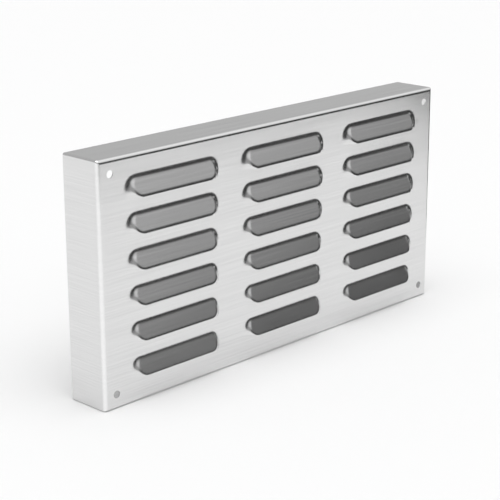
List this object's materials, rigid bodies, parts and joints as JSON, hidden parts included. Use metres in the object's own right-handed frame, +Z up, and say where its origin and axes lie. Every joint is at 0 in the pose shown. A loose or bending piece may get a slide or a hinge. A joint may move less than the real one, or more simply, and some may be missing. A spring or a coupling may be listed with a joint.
{
  "type": "grill island vent",
  "caption": "Louvred stainless vent panel for an outdoor grill island: pressed hoods open downwards on a flat face, folded back into shallow flanges, with screw holes in the corners.",
  "frame": {"origin": "middle of the footprint, on the plane that the bottom flange stands on", "axes": "+X along the width, +Y from the louvred face to the open back, +Z up"},
  "size_m": [0.381, 0.0444, 0.19],
  "materials": {
    "stainless_sheet": "fine brushed stainless sheet, grain along the width"
  },
  "bodies": {
    "root": {"vent_panel": "stainless_sheet"}
  },
  "joints": []
}
